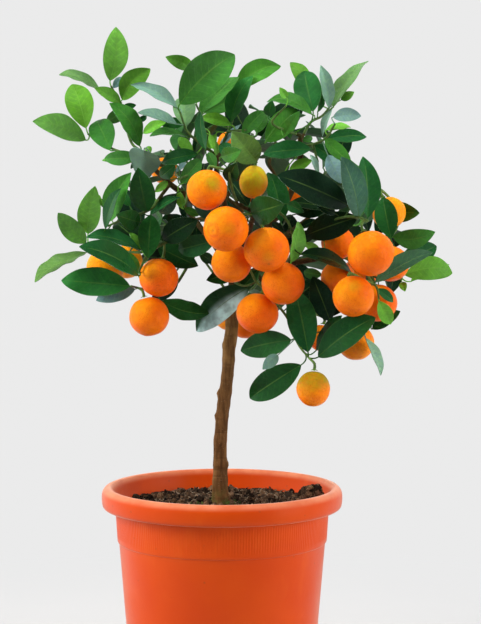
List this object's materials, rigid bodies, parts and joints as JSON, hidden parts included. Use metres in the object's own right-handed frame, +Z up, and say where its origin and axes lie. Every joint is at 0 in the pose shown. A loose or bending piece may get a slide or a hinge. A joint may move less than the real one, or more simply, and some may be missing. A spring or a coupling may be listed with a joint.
{
  "type": "potted orange tree",
  "caption": "Small potted orange tree: a bare stem, a round leafy crown full of small oranges, and a tapered plastic pot of soil with a rolled lip.",
  "frame": {"origin": "middle of the pot's flat underside", "axes": "+Z up along the pot's axis; -Y is the front, the side with most fruit; +X is to the right seen from the front"},
  "size_m": [0.3424, 0.281, 0.5544],
  "materials": {
    "orange_plastic": "satin",
    "soil": "crumbly",
    "bark": "rough",
    "leaf": "glossy",
    "peel": "satin"
  },
  "bodies": {
    "root": {"pot": "orange_plastic", "soil": "soil", "trunk": "bark", "stem_top_left": "leaf", "stem_far_left": "leaf", "stem_left_mid": "leaf", "stem_left_low": "leaf", "stem_left_bottom": "leaf", "stem_top": "leaf", "stem_top_mid": "leaf", "stem_front": "leaf", "stem_right_top_left": "leaf", "stem_right_top": "leaf", "stem_right_top_low": "leaf", "stem_right_mid": "leaf", "stem_heart": "leaf", "stem_right_out": "leaf", "stem_right_low": "leaf", "stem_bottom": "leaf", "stem_under": "leaf", "stem_upper_left": "leaf", "stem_back_1": "leaf", "stem_back_2": "leaf", "stem_back_3": "leaf", "stem_back_4": "leaf", "stem_back_5": "leaf", "stem_back_6": "leaf", "stem_back_7": "leaf", "stem_back_8": "leaf", "stem_back_9": "leaf", "stem_back_10": "leaf", "orange_01": "peel", "orange_02": "peel", "orange_03": "peel", "orange_04": "peel", "orange_05": "peel", "orange_06": "peel", "orange_07": "peel", "orange_08": "peel", "orange_09": "peel", "orange_10": "peel", "orange_11": "peel", "orange_12": "peel", "orange_13": "peel", "orange_14": "peel", "orange_15": "peel", "orange_16": "peel", "orange_17": "peel", "orange_18": "peel", "orange_19": "peel", "orange_20": "peel", "orange_21": "peel", "orange_22": "peel", "orange_23": "peel", "orange_24": "peel", "orange_25": "peel", "orange_26": "peel", "orange_27": "peel", "orange_28": "peel", "orange_29": "peel"}
  },
  "joints": []
}
